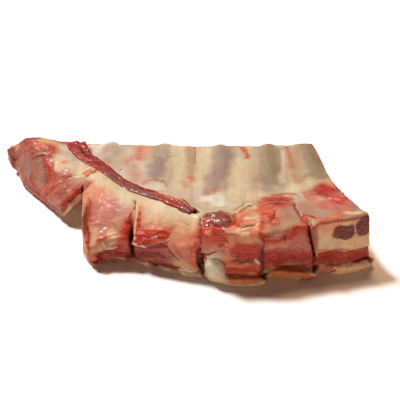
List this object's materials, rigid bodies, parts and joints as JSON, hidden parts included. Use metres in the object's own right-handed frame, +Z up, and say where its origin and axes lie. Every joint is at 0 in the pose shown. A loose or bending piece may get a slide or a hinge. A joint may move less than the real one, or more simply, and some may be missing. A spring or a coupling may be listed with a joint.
{
  "type": "lamb riblets",
  "caption": "Strip of raw lamb breast with its ribs, lying membrane side up: sawn breast edge parted into blocks by knife cuts, rib edge curling up behind, thin flank tip at one end.",
  "frame": {"origin": "middle of the footprint's box, on the board that the strip lies on", "axes": "+X along the strip, from the thin flank tip to the last breast block; +Y from the breast edge to the sawn rib edge; +Z up, out of the membrane side"},
  "size_m": [0.232, 0.116, 0.0384],
  "materials": {
    "lean": "moist raw lean meat under a thin pale membrane",
    "fat": "soft cream fat, slightly waxy",
    "bone": "raw rib bone under membrane, sawn ends with dark marrow",
    "gristle": "sawn cream gristle with red marrow",
    "skirt": "dark wet muscle"
  },
  "bodies": {
    "root": {"lean": "lean", "fat_cap": "fat", "breastbone": "gristle", "rib_1": "bone", "rib_2": "bone", "rib_3": "bone", "rib_4": "bone", "rib_5": "bone", "skirt": "skirt", "skirt_stub": "skirt"}
  },
  "joints": []
}
